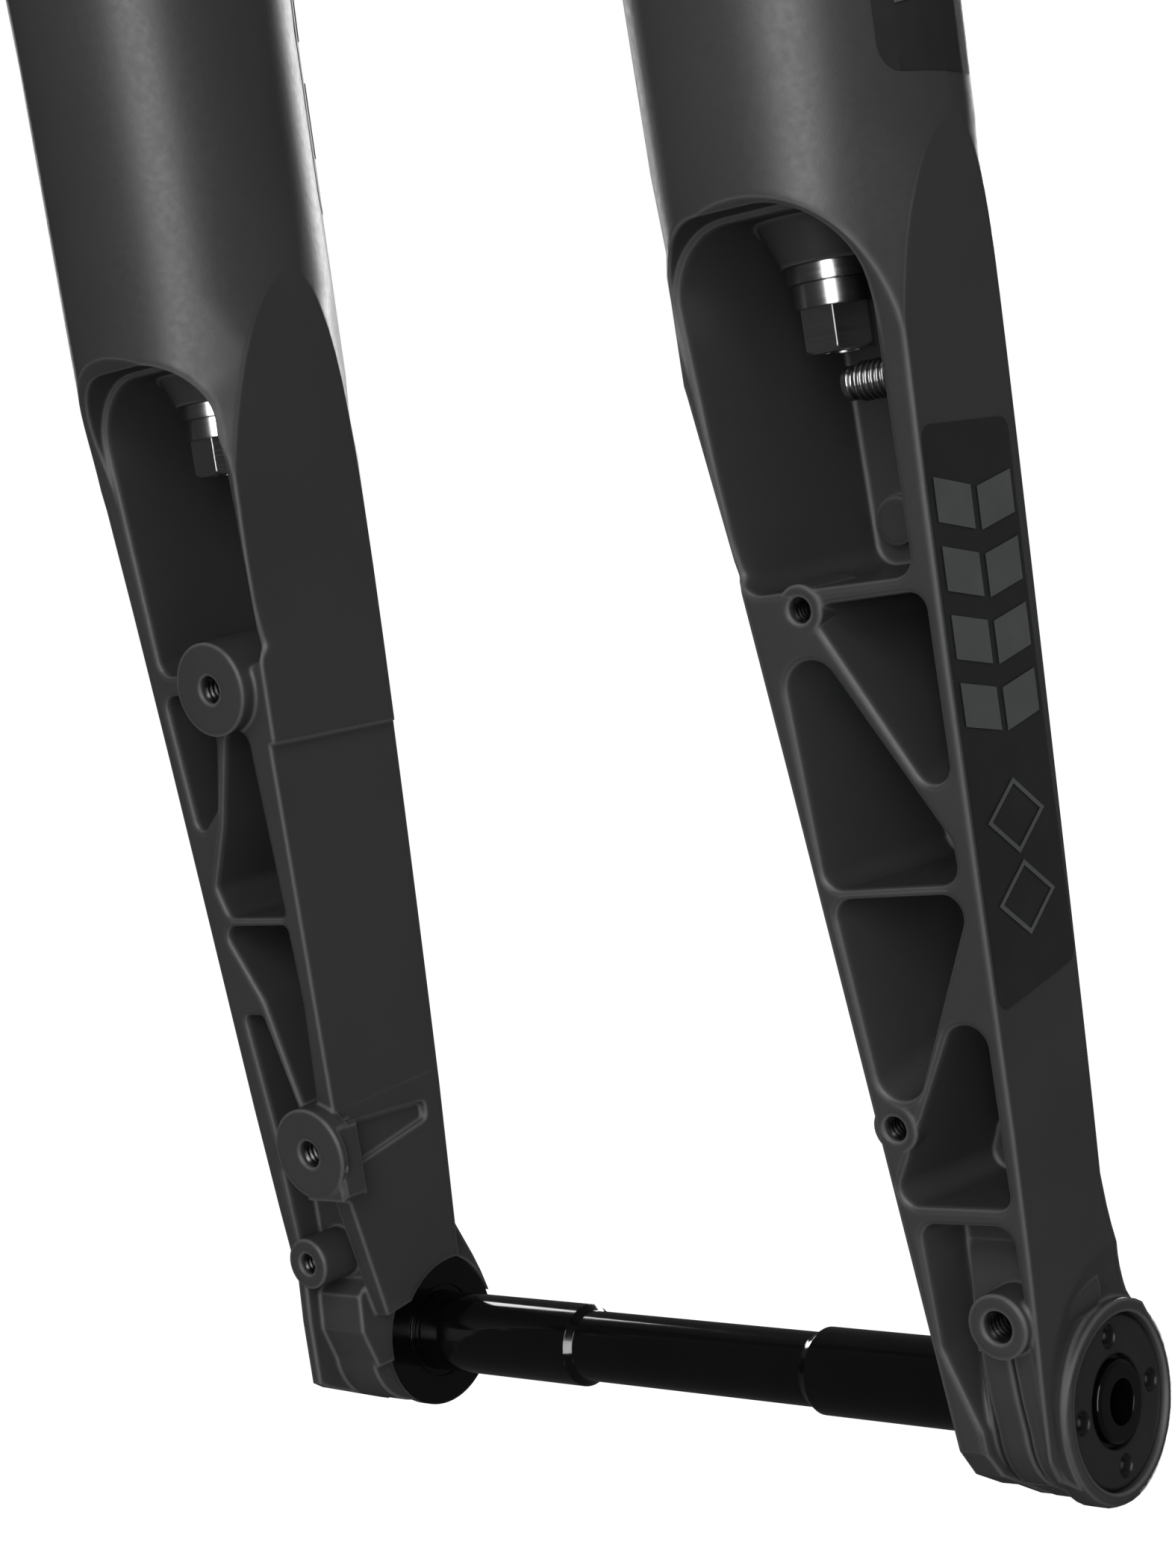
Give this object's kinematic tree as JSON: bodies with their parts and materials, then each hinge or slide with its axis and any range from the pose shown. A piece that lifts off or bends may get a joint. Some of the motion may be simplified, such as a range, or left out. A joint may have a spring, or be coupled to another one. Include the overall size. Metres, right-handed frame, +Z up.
{
  "type": "suspension fork",
  "caption": "Telescopic bicycle suspension fork: cast lowers with ribbed dropouts, stanchions, crown, tapered steerer and removable thru axle.",
  "frame": {"origin": "centre of the wheel axle, midway between the two dropouts", "axes": "+Z up the legs to the steerer, +Y forward, +X to the rider's right"},
  "size_m": [0.1566, 0.0848, 0.7132],
  "materials": {
    "casting": "satin paint over cast light alloy",
    "stanchion": "hard anodised, glossy",
    "crown": "satin anodised",
    "steerer": "brushed",
    "gloss_black": "glossy anodised",
    "dark_steel": "polished, dark",
    "steel": "ground",
    "seal_rubber": "matt",
    "foam": "soft",
    "bushing": "coated",
    "internal_alloy": "turned",
    "elastomer": "matt",
    "plastic": "moulded",
    "brass": "turned",
    "accent_anodised": "anodised"
  },
  "bodies": {
    "uppers": {"crown": "crown", "steerer": "steerer", "crown_race": "steel", "air_top_cap": "gloss_black", "air_valve": "brass", "valve_core": "brass", "valve_cap": "plastic", "damper_top_cap": "gloss_black", "damper_spindle": "internal_alloy", "damper_tube": "internal_alloy", "compression_valve": "internal_alloy", "air_seal_head": "internal_alloy", "damper_seal_head": "internal_alloy", "top_out_bumper": "elastomer", "volume_spacers": "elastomer", "retaining_rings": "steel", "stanchion_left": "stanchion", "stanchion_right": "stanchion"},
    "lowers": {"lower_casting": "casting", "foot_nut_air": "dark_steel", "foot_nut_damper": "dark_steel", "axle_insert": "gloss_black", "axle_collar": "gloss_black", "pinch_bolt": "dark_steel", "bay_stud": "dark_steel", "air_shaft": "steel", "air_piston": "plastic", "damper_shaft": "steel", "damper_piston": "internal_alloy", "travel_o_ring": "seal_rubber", "crush_washers": "dark_steel", "foot_bumpers": "elastomer", "seal_springs": "steel", "wiper_seal_left": "seal_rubber", "foam_ring_left": "foam", "upper_bushing_left": "bushing", "lower_bushing_left": "bushing", "wiper_seal_right": "seal_rubber", "foam_ring_right": "foam", "upper_bushing_right": "bushing", "lower_bushing_right": "bushing"},
    "thru_axle": {"thru_axle": "gloss_black"},
    "rebound_adjuster": {"rebound_screw": "accent_anodised"},
    "compression_lever": {"compression_lever": "accent_anodised"},
    "lowspeed_knob": {"lowspeed_knob": "gloss_black"}
  },
  "joints": [
    {"name": "fork_travel", "type": "slide", "parent": "uppers", "child": "lowers", "axis": [0, 0, 1], "range_m": [0, 0.05], "stiffness_N_per_m": 8000, "springref_m": -0.004},
    {"name": "axle_withdrawal", "type": "slide", "parent": "lowers", "child": "thru_axle", "axis": [1, 0, 0], "range_m": [0, 0.135]},
    {"name": "rebound_dial", "type": "hinge", "parent": "lowers", "child": "rebound_adjuster", "pos_m": [0.0559, -0.015, 0.137], "axis": [0, 0, 1], "range_deg": [0, 720]},
    {"name": "lockout_lever", "type": "hinge", "parent": "uppers", "child": "compression_lever", "pos_m": [0.0559, -0.015, 0.4487], "axis": [0, 0, 1], "range_deg": [0, 90]},
    {"name": "lowspeed_dial", "type": "hinge", "parent": "uppers", "child": "lowspeed_knob", "pos_m": [0.0559, -0.015, 0.4539], "axis": [0, 0, 1], "range_deg": [0, 300]}
  ]
}
